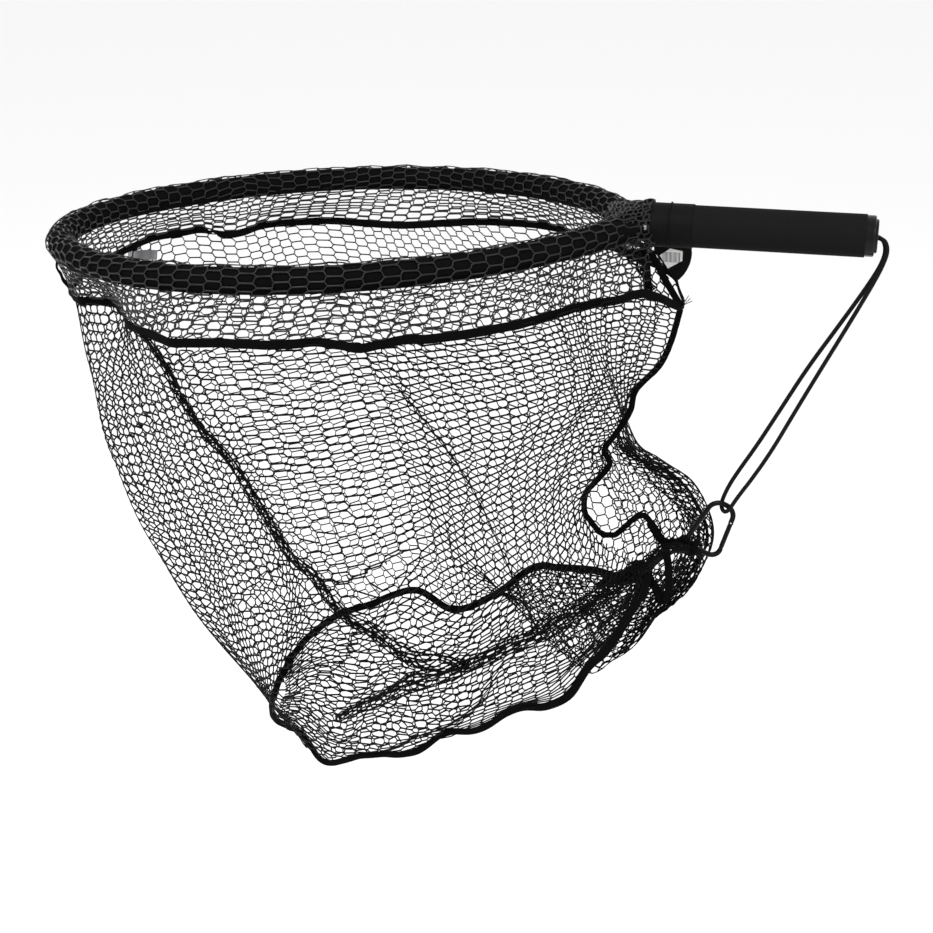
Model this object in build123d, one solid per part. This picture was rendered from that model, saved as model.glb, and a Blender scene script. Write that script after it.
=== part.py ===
"""Landing net: a floating oval hoop, a hanging mesh bag, a foam-covered handle and an elastic cord
with a carabiner. Millimetres. +X runs along the handle towards its end cap, +Z is up, and the
origin is on the handle's axis at the middle of the foam grip."""

import os
from math import atan2, cos, degrees, pi, radians, sin, tan

from build123d import *

# ---- driving dimensions ----

# handle
GRIP_LENGTH = 151.0
GRIP_DIAMETER = 38.0
HANDLE_TUBE_OD = 22.0
HANDLE_TUBE_WALL = 1.5
NECK_SLEEVE_LENGTH = 39.0
NECK_SLEEVE_DIAMETER = 39.6
NECK_PLUG_DIAMETER = 33.0
NECK_PLUG_NOSE = 6.0  # how far the plug stands out of the sleeve
NECK_PLUG_CHAMFER = 2.0
TUBE_INSET = 3.0  # the handle tube's start, in front of the grip
SPIGOT_LENGTH = 34.0
RIVET_DIAMETER = 4.0
RIVET_OFFSET = 4.0  # behind the sleeve's middle
CAP_DIAMETER = 36.4
CAP_LENGTH = 8.0
CAP_ROUNDING = 1.6
CAP_SPIGOT_LENGTH = 20.0
CAP_POCKET_DIAMETER = 14.0
CAP_FLOOR = 6.0  # between the knot's pocket and the cap's outer face
DISC_DIAMETER = 30.0
DISC_THICKNESS = 2.4
DISC_ROUNDING = 1.4
SLEEVE_ROUNDING = 2.0

# hoop
HOOP_LENGTH = 561.0  # neck bend to tip, on the tube's centre line
HOOP_WIDTH = 442.0
HOOP_WIDEST = 256.0  # tip to the widest point
HOOP_TUBE_DIAMETER = 10.0
FOAM_DIAMETER = 23.0
FOAM_BORE = 10.4
LEG_SPACING = 19.0
LEG_STRAIGHT = 50.0
NECK_BEND_RADIUS = 37.0
NECK_FRONT = 42.5  # hoop's neck point, in front of the grip's front end
NECK_BEND_OVERRUN = 14.0  # the neck bend ends this far past the neck point
LEG_DEPTH = 22.0  # tube ends past the neck bend, inside the plug
TIP_ARC = 37.0  # degrees of the tip's wide arc, each side
HOOP_DIP = 3.0  # degrees from the handle's axis down to the tip
RIM_SLEEVE_GAP = 0.3
RIM_SLEEVE_WALL = 0.9

# net
NET_WALL = 1.4
BINDING_HEIGHT = 8.0
BINDING_THICKNESS = 2.6
COLLAR_TOP_DROP = 13.6
COLLAR_DEPTH = 34.0
COLLAR_TOP_SHORT = 12.0  # the collar's top stops this far before the neck point
MOUTH_REACH = 25.0  # the collar binding runs this far past the neck point
NOSE_RADIUS = 14.0
SIDE_TAPE_WIDTH = 8.0
SIDE_TAPE_THICKNESS = 1.2
TAPE_GAP = 0.3
NECK_TIE_REACH = 26.0  # from the middle to the outer edge of each tie at the neck
BASE_THICKNESS = 1.4
TAIL_WIDTH = 9.0
TAIL_LENGTH = 27.0
TAIL_DROP = 8.0
TAIL_ROUNDING = 4.0
BACK_SLACK_START = 8.0  # the back wall's slack fold starts this far behind the side seam

# bag sections below the collar binding: tip end (x, z), handle end (x, z), width
FRONT_SECTIONS = [
    ((-675.0, -170.0), (-118.0, -154.0), 425.0),
    ((-636.0, -310.0), (-160.0, -286.0), 372.0),
    ((-502.0, -541.0), (-100.0, -346.0), 290.0),
]
BACK_SECTIONS = [
    ((-675.0, -170.0), (-118.0, -154.0), 425.0),
    ((-636.0, -310.0), (-78.0, -252.0), 368.0),
    ((-578.0, -425.0), (-48.0, -300.0), 330.0),
    ((-502.0, -541.0), (-100.0, -346.0), 290.0),
]
WIDEST_SHARE = 0.456  # of a section's length, from its tip end

# elastic cord and carabiner
CORD_DIAMETER = 4.0
KNOT_LENGTH = 9.0
KNOT_DIAMETER = 12.0
KNOT_ROUNDING = 2.0
CARABINER_TOP = (-30.9, -8.0, -263.6)
CARABINER_LEAN = 21.3  # degrees of its long axis from straight down, towards the net
BAR_DIAMETER = 5.0
EAR_WIDTH = 4.6  # across the fork that holds the gate's pin
CARABINER_LENGTH = 54.0
NARROW_WIDTH = 22.5
GATE_SIDE_FLARE = 4.5
SPINE_FLARE = 8.0
NARROW_CORNER = 11.5
WIDE_CORNER = 9.0
GATE_START = 14.0  # the hinge pin, down from the narrow end
GATE_LENGTH = 30.0
GATE_DIAMETER = 4.6
GATE_PIN_DIAMETER = 1.5
GATE_TONGUE = 1.8
LATCH_TONGUE = 1.6
LATCH_DEPTH = 3.0
LATCH_HEIGHT = 3.6
LATCH_ROOT = 2.5  # how far the latch tongue runs into the bar
GATE_FREE_GAP = 0.5  # between the gate's end and the bar
SLOT_CLEARANCE = 0.2
SPRING_DIAMETER = 1.2
SPRING_LENGTH = 12.0
GATHER_RADIUS = 6.4
GATHER_THICKNESS = 6.2
GATHER_OFFSET = -8.0
GATHER_TAIL = 16.0
GATHER_TAIL_RUN = (-1.0, -0.15, 0.0)  # the way the gathered tail leaves, in the carabiner's plane

# hang tag
TAG_THICKNESS = 0.9
TAG_BEHIND = 23.0
TAG_BACK = 18.5  # the string and the tag's hole, behind the sleeve's front end
TAG_HOLE_DROP = 12.4
TAG_HOLE_DIAMETER = 4.0
TAG_OUTLINE = [(15.0, -7.6), (-17.6, -7.6), (-17.0, -31.0), (5.0, -58.0)]
TAG_CURVE = [(5.0, -58.0), (15.4, -44.0), (18.0, -30.0)]
STICKER_OUTLINE = [(-11.5, -34.0), (-2.0, -27.0), (9.5, -29.0), (9.5, -38.0), (-3.5, -46.0)]
STRING_DIAMETER = 1.0
STRING_GAP = 0.3
STRING_LINK_RADIUS = 4.2
STICKER_THICKNESS = 0.2

# care label inside the bag
LABEL_LENGTH = 30.0
LABEL_HEIGHT = 13.0
LABEL_THICKNESS = 0.4
LABEL_X = -668.0
LABEL_DROP = 36.0  # from the collar binding's height at the neck to the label's top

# clearances
FIT = 0.1
PIN_FIT = 0.03

# ---- derived places ----

GRIP_FRONT = -GRIP_LENGTH / 2
GRIP_END = GRIP_LENGTH / 2
SLEEVE_FRONT = GRIP_FRONT - NECK_SLEEVE_LENGTH
NECK_X = GRIP_FRONT - NECK_FRONT
CAP_END = GRIP_END + CAP_LENGTH
DISC_END = CAP_END + DISC_THICKNESS
TUBE_FRONT = GRIP_FRONT - TUBE_INSET
TUBE_BORE = HANDLE_TUBE_OD - 2 * HANDLE_TUBE_WALL
CORD_HOLE_DIAMETER = 2 * CORD_DIAMETER + 1.4
STRAND_OFFSET = CORD_DIAMETER / 2 + 0.15
BINDING_TOP_DROP = COLLAR_TOP_DROP + COLLAR_DEPTH
WALL_TOP_DROP = BINDING_TOP_DROP + BINDING_HEIGHT
MOUTH_LENGTH = HOOP_LENGTH + MOUTH_REACH


def cylinder_x(diameter, start, end):
    """A round bar on the handle's axis between two stations."""
    return Plane.YZ.offset(start) * extrude(Circle(diameter / 2), end - start)


def side_plane(tip, nose):
    """A section's plane: origin at its tip end, local X towards the handle, local Y across."""
    run_x = nose[0] - tip[0]
    run_z = nose[1] - tip[1]
    return Plane(origin=(tip[0], 0, tip[1]), x_dir=(run_x, 0, run_z), z_dir=(-run_z, 0, run_x))


def distance(tip, nose):
    return ((nose[0] - tip[0]) ** 2 + (nose[1] - tip[1]) ** 2) ** 0.5


def hoop_point(along, drop):
    """A point in the hoop's middle plane: along from the neck point, drop below the tube."""
    dip = radians(HOOP_DIP)
    return (NECK_X + along * cos(dip) + drop * sin(dip), along * sin(dip) - drop * cos(dip))


HOOP_PLANE = side_plane(hoop_point(-HOOP_LENGTH, 0), hoop_point(0, 0))


# ---- the oval that the hoop and every section of the bag share ----


def tip_radii(half_width, widest, tip_arc):
    """Radii of the two tangent arcs that run from the tip to the widest point."""
    c = cos(tip_arc)
    s = sin(tip_arc)
    det = (1 - c) * (1 - s) - c * s
    first = (widest * (1 - s) - half_width * c) / det
    second = ((1 - c) * half_width - s * widest) / det
    return first, second


def leg_turn(run, rise, straight):
    """Radius sum and turn, in degrees, of an arc and a straight leg that cover run and rise."""
    radius = (run**2 + rise**2 - straight**2) / (2 * rise)
    turn = atan2(run, radius - rise) - atan2(straight, radius)
    return radius, degrees(turn)


def tip_half(half_width, widest):
    first, second = tip_radii(half_width, widest, radians(TIP_ARC))
    tip = JernArc((0, 0), (0, 1), first, -TIP_ARC)
    side = JernArc(tip @ 1, tip % 1, second, TIP_ARC - 90)
    return tip, side


def oval(length, width, widest, nose=NOSE_RADIUS, grow=0.0):
    """A closed oval face from its tip at the origin to its nose, grown outwards all round."""
    half = width / 2 + grow
    tip, side = tip_half(half, widest + grow)
    nose_radius = nose + grow
    radius, turn = leg_turn(length - widest - nose, width / 2 - nose, LEG_STRAIGHT)
    shoulder = JernArc(side @ 1, side % 1, radius + nose_radius, -turn)
    leg = Line(shoulder @ 1, (shoulder @ 1) + LEG_STRAIGHT * (shoulder % 1))
    end = JernArc(leg @ 1, leg % 1, nose_radius, turn - 90)
    half_wire = tip + side + shoulder + leg + end
    face = make_face(half_wire + mirror(half_wire, about=Plane.XZ))
    return Pos(-grow, 0) * face


def section(tip, nose, width, grow=0.0):
    length = distance(tip, nose)
    return side_plane(tip, nose) * oval(length, width, length * WIDEST_SHARE, grow=grow)


def drop_section(drop, length, widest, width, grow=0.0):
    """A section parallel to the hoop, its tip end below the hoop's tip."""
    tip = hoop_point(-HOOP_LENGTH, drop)
    return side_plane(tip, hoop_point(0, drop)) * oval(length, width, widest, grow=grow)


def shell(sections, outside, inside, region=None):
    """The wall between two grown copies of a stack of sections, open at both ends, kept inside region."""
    body = loft([s(outside) for s in sections], ruled=True)
    if region is not None:
        body = body & region
    return body - loft([s(inside) for s in sections], ruled=True)


def block(x0, x1, y0, y1, z0=-2 * HOOP_LENGTH, z1=HOOP_LENGTH):
    """A box between two stations along X and two across, tall enough for the whole bag unless told."""
    size = (x1 - x0, y1 - y0, z1 - z0)
    return Pos((x0 + x1) / 2, (y0 + y1) / 2, (z0 + z1) / 2) * Box(*size)


# ---- hoop ----


def hoop_half():
    """Upper half of the hoop's centre line in its own plane, from the tip to the straight leg's end."""
    tip, side = tip_half(HOOP_WIDTH / 2, HOOP_WIDEST)
    run = HOOP_LENGTH - HOOP_WIDEST + NECK_BEND_OVERRUN
    rise = HOOP_WIDTH / 2 - LEG_SPACING / 2
    radius, turn = leg_turn(run, rise, LEG_STRAIGHT)
    shoulder = JernArc(side @ 1, side % 1, radius - NECK_BEND_RADIUS, -turn)
    leg = Line(shoulder @ 1, (shoulder @ 1) + LEG_STRAIGHT * (shoulder % 1))
    return tip, side, shoulder, leg, turn


def hoop_tube():
    tip, side, shoulder, leg, turn = hoop_half()
    bend = JernArc(leg @ 1, leg % 1, NECK_BEND_RADIUS, turn)
    end = Line(bend @ 1, (bend @ 1) + Vector(LEG_DEPTH, 0))
    half = tip + side + shoulder + leg + bend + end
    tube = hoop_sweep(half, end @ 1, end % 1, HOOP_TUBE_DIAMETER)
    return tube - rivet_bars(RIVET_DIAMETER + 2 * FIT, 3 * HOOP_TUBE_DIAMETER)


def hoop_sweep(half, start, heading, diameter):
    """Sweeps a round section along the half and its mirror image."""
    path = Wire((half + mirror(half, about=Plane.XZ)).edges())
    profile = Plane(origin=start, z_dir=heading) * Circle(diameter / 2)
    return HOOP_PLANE * sweep(profile, path)


def hoop_skin(diameter):
    """A round bar along the part of the hoop that the foam covers: up to halfway round the neck bend."""
    tip, side, shoulder, leg, turn = hoop_half()
    bend = JernArc(leg @ 1, leg % 1, NECK_BEND_RADIUS, turn / 2)
    half = tip + side + shoulder + leg + bend
    return hoop_sweep(half, bend @ 1, bend % 1, diameter)


def hoop_foam():
    return hoop_skin(FOAM_DIAMETER) - hoop_skin(FOAM_BORE)


RIM_BORE = FOAM_DIAMETER + 2 * RIM_SLEEVE_GAP
RIM_DIAMETER = RIM_BORE + 2 * RIM_SLEEVE_WALL


def rim_netting():
    return hoop_skin(RIM_DIAMETER) - hoop_skin(RIM_BORE)


# ---- handle ----


def leg_bars(diameter, start, end):
    """Two round bars in line with the tube ends, in the hoop's plane."""
    bars = Part()
    for side in (-1, 1):
        place = HOOP_PLANE * Plane(origin=(HOOP_LENGTH + start, side * LEG_SPACING / 2, 0), z_dir=(1, 0, 0))
        bars += place * extrude(Circle(diameter / 2), end - start)
    return bars


def rivet_places():
    middle = (SLEEVE_FRONT + GRIP_FRONT) / 2 + RIVET_OFFSET
    for side in (-1, 1):
        yield middle, side * LEG_SPACING / 2


def rivet_bars(diameter, height):
    bars = Part()
    for x, y in rivet_places():
        bars += Pos(x, y, 0) * Cylinder(diameter / 2, height)
    return bars


def neck_plug():
    body = cylinder_x(NECK_PLUG_DIAMETER, SLEEVE_FRONT - NECK_PLUG_NOSE, TUBE_FRONT)
    body = chamfer(body.edges().sort_by(Axis.X)[0], NECK_PLUG_CHAMFER)
    spigot = cylinder_x(TUBE_BORE - 2 * FIT, TUBE_FRONT, TUBE_FRONT + SPIGOT_LENGTH)
    bores = leg_bars(HOOP_TUBE_DIAMETER + 2 * FIT, NECK_BEND_OVERRUN, NECK_BEND_OVERRUN + LEG_DEPTH)
    rivet_holes = rivet_bars(RIVET_DIAMETER + 2 * FIT, 2 * NECK_PLUG_DIAMETER)
    return body + spigot - bores - rivet_holes - neck_bend_clearance()


def neck_bend_clearance():
    """The curved tube itself, a little larger, so that the plug clears the end of the neck bend."""
    tip, side, shoulder, leg, turn = hoop_half()
    bend = JernArc(leg @ 1, leg % 1, NECK_BEND_RADIUS, turn)
    start = Plane(origin=bend @ 0, z_dir=bend % 0) * Circle(HOOP_TUBE_DIAMETER / 2 + FIT)
    one = sweep(start, Wire([bend]))
    return HOOP_PLANE * (one + mirror(one, about=Plane.XZ))


def neck_rivets():
    """Two pins through the plug and the tube ends, hidden by the sleeve."""
    reach = LEG_SPACING / 2 + RIVET_DIAMETER / 2
    half_chord = ((NECK_PLUG_DIAMETER / 2) ** 2 - reach**2) ** 0.5
    return rivet_bars(RIVET_DIAMETER, 2 * (half_chord - FIT))


def neck_sleeve():
    sleeve = cylinder_x(NECK_SLEEVE_DIAMETER, SLEEVE_FRONT, GRIP_FRONT)
    sleeve = fillet(sleeve.edges().sort_by(Axis.X)[0], SLEEVE_ROUNDING)
    sleeve = sleeve - cylinder_x(NECK_PLUG_DIAMETER, SLEEVE_FRONT - 1, TUBE_FRONT)
    return sleeve - cylinder_x(HANDLE_TUBE_OD, TUBE_FRONT - 1, GRIP_FRONT + 1)


def handle_tube():
    tube = cylinder_x(HANDLE_TUBE_OD, TUBE_FRONT, GRIP_END)
    return tube - cylinder_x(TUBE_BORE, TUBE_FRONT - 1, GRIP_END + 1)


def grip_foam():
    grip = cylinder_x(GRIP_DIAMETER, GRIP_FRONT, GRIP_END)
    return grip - cylinder_x(HANDLE_TUBE_OD, GRIP_FRONT - 1, GRIP_END + 1)


POCKET_START = CAP_END - CAP_FLOOR


def end_cap():
    flange = cylinder_x(CAP_DIAMETER, GRIP_END, CAP_END)
    flange = fillet(flange.edges().sort_by(Axis.X)[-1], CAP_ROUNDING)
    spigot_start = GRIP_END - CAP_SPIGOT_LENGTH
    spigot = cylinder_x(TUBE_BORE - 2 * FIT, spigot_start, GRIP_END)
    pocket = cylinder_x(CAP_POCKET_DIAMETER, spigot_start - 1, POCKET_START)
    return flange + spigot - pocket - cylinder_x(CORD_HOLE_DIAMETER, POCKET_START - 1, CAP_END + 1)


def end_disc():
    disc = cylinder_x(DISC_DIAMETER, CAP_END, DISC_END)
    disc = fillet(disc.edges().sort_by(Axis.X)[-1], DISC_ROUNDING)
    return disc - cylinder_x(CORD_HOLE_DIAMETER, CAP_END - 1, DISC_END + 1)


def cord_knot():
    knot = cylinder_x(KNOT_DIAMETER, POCKET_START - KNOT_LENGTH, POCKET_START)
    return fillet(knot.edges(), KNOT_ROUNDING)


# ---- net ----


def collar_sections():
    top_length = HOOP_LENGTH - COLLAR_TOP_SHORT
    return [
        lambda grow: drop_section(COLLAR_TOP_DROP, top_length, HOOP_WIDEST, HOOP_WIDTH, grow),
        lambda grow: drop_section(BINDING_TOP_DROP, MOUTH_LENGTH, HOOP_WIDEST, HOOP_WIDTH, grow),
    ]


def wall_sections(rows):
    stack = [lambda grow: drop_section(WALL_TOP_DROP, MOUTH_LENGTH, HOOP_WIDEST, HOOP_WIDTH, grow)]
    for tip, nose, width in rows:
        stack.append(lambda grow, t=tip, n=nose, w=width: section(t, n, w, grow))
    return stack


def collar_netting():
    return shell(collar_sections(), 0, -NET_WALL)


def wall_netting_front():
    region = block(-2 * HOOP_LENGTH, 0, -HOOP_WIDTH, -TAPE_GAP / 2)
    return shell(wall_sections(FRONT_SECTIONS), 0, -NET_WALL, region)


def wall_netting_back():
    region = block(-2 * HOOP_LENGTH, 0, TAPE_GAP / 2, HOOP_WIDTH)
    region = region - block(-HOOP_LENGTH / 2, 1, -1, BACK_SLACK_START)
    return shell(wall_sections(BACK_SECTIONS), 0, -NET_WALL, region)


BASE_TIP, BASE_NOSE, BASE_WIDTH = FRONT_SECTIONS[-1]


def base_outline(drop, grow):
    """The base's oval, moved down square to the base."""
    lower = Location(side_plane(BASE_TIP, BASE_NOSE).z_dir * -drop)
    return section(BASE_TIP, BASE_NOSE, BASE_WIDTH, grow).moved(lower)


def ring(face_out, face_in, direction, depth):
    return extrude(face_out, depth, dir=direction) - extrude(face_in, depth, dir=direction)


def collar_binding():
    down = HOOP_PLANE.z_dir * -1
    outside = (BINDING_THICKNESS - NET_WALL) / 2
    sized = (BINDING_TOP_DROP, MOUTH_LENGTH, HOOP_WIDEST, HOOP_WIDTH)
    face_out = drop_section(*sized, outside)
    face_in = drop_section(*sized, outside - BINDING_THICKNESS)
    return ring(face_out, face_in, down, BINDING_HEIGHT)


def base_binding():
    down = side_plane(BASE_TIP, BASE_NOSE).z_dir * -1
    outside = (BINDING_THICKNESS - NET_WALL) / 2
    return ring(base_outline(0, outside), base_outline(0, outside - BINDING_THICKNESS), down, BINDING_HEIGHT)


def base_netting():
    """The flat panel inside the base binding."""
    down = side_plane(BASE_TIP, BASE_NOSE).z_dir * -1
    edge = (BINDING_THICKNESS - NET_WALL) / 2 - BINDING_THICKNESS - TAPE_GAP
    return extrude(base_outline(BINDING_HEIGHT / 2, edge), BASE_THICKNESS, dir=down)


def tape_on(sections, region):
    """A tape that lies on the outside of a stack of sections."""
    return shell(sections, TAPE_GAP + SIDE_TAPE_THICKNESS, TAPE_GAP, region)


def handle_side_tape():
    """The seam down the handle side of the front wall."""
    top = hoop_point(0, WALL_TOP_DROP + 1)[1]
    return tape_on(wall_sections(FRONT_SECTIONS), block(-HOOP_LENGTH / 2, 0, -SIDE_TAPE_WIDTH, 0, z1=top))


def tip_side_tape():
    """The short seam across the collar at the tip."""
    half = SIDE_TAPE_WIDTH / 2
    return tape_on(collar_sections(), block(-2 * HOOP_LENGTH, -HOOP_LENGTH, -half, half))


def neck_tapes():
    """Two short ties on the collar at the neck, front and back."""
    near = NECK_X - 60
    inner = NECK_TIE_REACH - SIDE_TAPE_WIDTH
    front = tape_on(collar_sections(), block(near, 0, -NECK_TIE_REACH, -inner))
    back = tape_on(collar_sections(), block(near, 0, inner, NECK_TIE_REACH))
    return front + back


def tape_tail():
    """The loose end of the base binding, hanging in a narrow loop at the handle end."""
    base = side_plane(BASE_TIP, BASE_NOSE)
    outside = (BINDING_THICKNESS - NET_WALL) / 2
    lip = Vector(BASE_NOSE[0], 0, BASE_NOSE[1]) + base.x_dir * outside - base.z_dir * BINDING_HEIGHT
    place = Pos(lip.X + TAPE_GAP + TAIL_WIDTH / 2, 0, lip.Z - TAIL_DROP)
    outer = place * Box(TAIL_WIDTH, SIDE_TAPE_WIDTH, TAIL_LENGTH)
    twice = 2 * SIDE_TAPE_THICKNESS
    hollow = place * Box(TAIL_WIDTH - twice, SIDE_TAPE_WIDTH + 2, TAIL_LENGTH - twice)
    outer = fillet(outer.edges().filter_by(Axis.Y), TAIL_ROUNDING)
    return outer - fillet(hollow.edges().filter_by(Axis.Y), TAIL_ROUNDING - SIDE_TAPE_THICKNESS)


def care_label():
    outside = -NET_WALL - TAPE_GAP
    high = hoop_point(0, WALL_TOP_DROP)[1] - LABEL_DROP
    region = block(LABEL_X, LABEL_X + LABEL_LENGTH, TAPE_GAP, HOOP_WIDTH, high - LABEL_HEIGHT, high)
    return shell(wall_sections(BACK_SECTIONS), outside, outside - LABEL_THICKNESS, region)


# ---- carabiner: its plane's local X points to the gate, local Y up ----

LEAN = radians(CARABINER_LEAN)
CARABINER_PLANE = Plane(origin=CARABINER_TOP, x_dir=(cos(LEAN), 0, -sin(LEAN)), z_dir=(0, -1, 0))
GATE_TURN = atan2(GATE_SIDE_FLARE, CARABINER_LENGTH)
GATE_PIN_X = NARROW_WIDTH / 2 + GATE_START * tan(GATE_TURN)
# local X runs along the gate from its pin, local Z stays on the pin's axis
GATE_PLANE = CARABINER_PLANE * Plane(
    origin=(GATE_PIN_X, -GATE_START, 0), x_dir=(sin(GATE_TURN), -cos(GATE_TURN), 0), z_dir=(0, 0, 1)
)
EAR_RADIUS = BAR_DIAMETER / 2
EAR_SLOT_MARGIN = 0.6
BARREL_START = EAR_RADIUS + GATE_FREE_GAP
TONGUE_HEIGHT = 3.4
LATCH_SLOT_MARGIN = 0.4
SPRING_START = BARREL_START + 3.2


def carabiner_body():
    half = NARROW_WIDTH / 2
    corners = [
        (-half, 0),
        (half, 0),
        (half + GATE_SIDE_FLARE, -CARABINER_LENGTH),
        (-half - SPINE_FLARE, -CARABINER_LENGTH),
    ]
    outline = make_face(Polyline(*corners, close=True))
    outline = fillet(outline.vertices().group_by(Axis.Y)[-1], NARROW_CORNER)
    low_corners = [v for v in outline.vertices() if v.Y < -CARABINER_LENGTH + 1]
    outline = fillet(low_corners, WIDE_CORNER)
    path = outline.wire()
    start = path.edges().sort_by(Axis.X)[0]
    bar = sweep(Plane(origin=start @ 0.5, z_dir=start % 0.5) * Circle(BAR_DIAMETER / 2), path)
    body = CARABINER_PLANE * bar
    over = 2 * BAR_DIAMETER
    mouth = GATE_PLANE * (Pos(GATE_LENGTH / 2, 0, 0) * Box(GATE_LENGTH + 2 * GATE_FREE_GAP, over, over))
    body = body - mouth
    # rounded fork at the hinge
    body = body + GATE_PLANE * Cylinder(EAR_RADIUS, EAR_WIDTH)
    slot = GATE_TONGUE + 2 * SLOT_CLEARANCE
    body = body - GATE_PLANE * Cylinder(EAR_RADIUS + EAR_SLOT_MARGIN, slot)
    body = body - GATE_PLANE * Cylinder(GATE_PIN_DIAMETER / 2 + PIN_FIT / 2, over)
    # latch tongue that the gate's slotted end closes on
    tongue_start = GATE_LENGTH - LATCH_DEPTH
    tongue_end = GATE_LENGTH + LATCH_ROOT
    tongue_length = tongue_end - tongue_start
    tongue = Pos(tongue_start + tongue_length / 2, 0, 0) * Box(tongue_length, LATCH_HEIGHT, LATCH_TONGUE)
    return body + GATE_PLANE * tongue


def carabiner_gate():
    barrel = cylinder_x(GATE_DIAMETER, BARREL_START, GATE_LENGTH)
    root = Cylinder(TONGUE_HEIGHT / 2, GATE_TONGUE)
    tongue = Pos(BARREL_START / 2, 0, 0) * Box(BARREL_START, TONGUE_HEIGHT, GATE_TONGUE)
    gate = barrel + root + tongue
    gate = gate - Cylinder(GATE_PIN_DIAMETER / 2 + PIN_FIT, BAR_DIAMETER)
    slot_start = GATE_LENGTH - LATCH_DEPTH - LATCH_SLOT_MARGIN
    slot_end = GATE_LENGTH + 1
    slot_width = LATCH_TONGUE + 2 * SLOT_CLEARANCE
    slot = Pos((slot_start + slot_end) / 2, 0, 0) * Box(slot_end - slot_start, 2 * GATE_DIAMETER, slot_width)
    bore_diameter = SPRING_DIAMETER + 2 * SLOT_CLEARANCE
    spring_end = SPRING_START + SPRING_LENGTH
    bore = cylinder_x(bore_diameter, SPRING_START - SLOT_CLEARANCE, spring_end + SLOT_CLEARANCE)
    return GATE_PLANE * (gate - slot - bore)


def gate_pin():
    return GATE_PLANE * Cylinder(GATE_PIN_DIAMETER / 2, EAR_WIDTH)


def gate_spring():
    """The gate's spring plunger, inside the barrel."""
    return GATE_PLANE * cylinder_x(SPRING_DIAMETER, SPRING_START, SPRING_START + SPRING_LENGTH)


def net_gather():
    """The bunched tape and mesh, looped round the carabiner's wide end."""
    wide_end = Pos(GATHER_OFFSET, -CARABINER_LENGTH, 0)
    loop = wide_end * Rot(0, 90, 0) * Torus(GATHER_RADIUS, GATHER_THICKNESS / 2)
    low_point = (GATHER_OFFSET, -CARABINER_LENGTH - GATHER_RADIUS, 0)
    tail_start = Plane(origin=low_point, x_dir=(0, 0, 1), z_dir=GATHER_TAIL_RUN)
    tail = tail_start * extrude(Circle(GATHER_THICKNESS / 2), GATHER_TAIL)
    return CARABINER_PLANE * (loop + tail)


# ---- elastic cord: a hand-placed route from the knot, round the carabiner's bar, and back ----

CORD_START = POCKET_START
CORD_ROUTE = [
    (CORD_START, -STRAND_OFFSET, 0.0),
    (90.4, -STRAND_OFFSET, 0.0),
    (95.6, -2.3, -10.5),
    (92.8, -2.6, -23.5),
    (85.2, -3.0, -42.5),
    (67.3, -3.9, -81.0),
    (44.6, -5.4, -128.0),
    (25.0, -7.0, -169.5),
    (8.6, -8.8, -205.0),
    (-7.6, -10.8, -234.0),
    (-19.6, -13.4, -252.5),
    (-29.4, -13.7, -271.4),
    (-36.4, -2.3, -267.2),
    (-29.8, -2.2, -247.2),
    (-20.2, -1.2, -229.0),
    (-6.0, -0.2, -204.5),
    (13.8, 0.5, -166.0),
    (34.6, 1.2, -125.0),
    (58.6, 1.8, -80.5),
    (76.4, 2.2, -45.5),
    (86.8, 2.4, -24.5),
    (91.9, 2.3, -9.5),
    (88.9, STRAND_OFFSET, 0.0),
    (CORD_START, STRAND_OFFSET, 0.0),
]


def route_radii(points):
    """For each corner, 0.45 of its shorter run, divided by the tangent of half the turn."""
    vectors = [Vector(*p) for p in points]
    radii = []
    for before, here, after in zip(vectors, vectors[1:], vectors[2:]):
        run_in = here - before
        run_out = after - here
        turn = radians(run_in.get_angle(run_out))
        radii.append(0.45 * min(run_in.length, run_out.length) / tan(turn / 2))
    return radii


def elastic_cord():
    radii = route_radii(CORD_ROUTE)
    path = FilletPolyline(*CORD_ROUTE, radius=radii)
    profile = Plane(origin=path @ 0, z_dir=path % 0) * Circle(CORD_DIAMETER / 2)
    tube = sweep(profile, path)
    section_area = pi * CORD_DIAMETER**2 / 4
    print("cord radii", [round(r, 1) for r in radii])
    ratio = tube.volume / (section_area * path.length)
    print("cord length", round(path.length, 1), "volume ratio", round(ratio, 4))
    return tube


# ---- hang tag, behind the neck ----

TAG_X = SLEEVE_FRONT + TAG_BACK
TAG_PLANE = Plane(origin=(TAG_X, TAG_BEHIND, 0), x_dir=(1, 0, 0), z_dir=(0, -1, 0))


def hang_tag():
    edge = Polyline(*TAG_OUTLINE) + ThreePointArc(*TAG_CURVE) + Line(TAG_CURVE[-1], TAG_OUTLINE[0])
    card = extrude(make_face(edge), -TAG_THICKNESS)
    hole = Pos(0, -TAG_HOLE_DROP, 0) * Cylinder(TAG_HOLE_DIAMETER / 2, 4 * TAG_THICKNESS)
    return TAG_PLANE * (card - hole)


def tag_sticker():
    return TAG_PLANE * extrude(make_face(Polyline(*STICKER_OUTLINE, close=True)), STICKER_THICKNESS)


def tag_string():
    """A string round the neck sleeve with a small loop through the hole in the card."""
    thin = STRING_DIAMETER / 2
    ring_radius = NECK_SLEEVE_DIAMETER / 2 + STRING_GAP + thin
    across = Rot(0, 90, 0)
    round_neck = Pos(TAG_X, 0, 0) * across * Torus(ring_radius, thin)
    middle = (TAG_X, TAG_BEHIND + TAG_THICKNESS / 2, STRING_LINK_RADIUS - TAG_HOLE_DROP)
    return round_neck + Pos(*middle) * across * Torus(STRING_LINK_RADIUS, thin)


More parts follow.
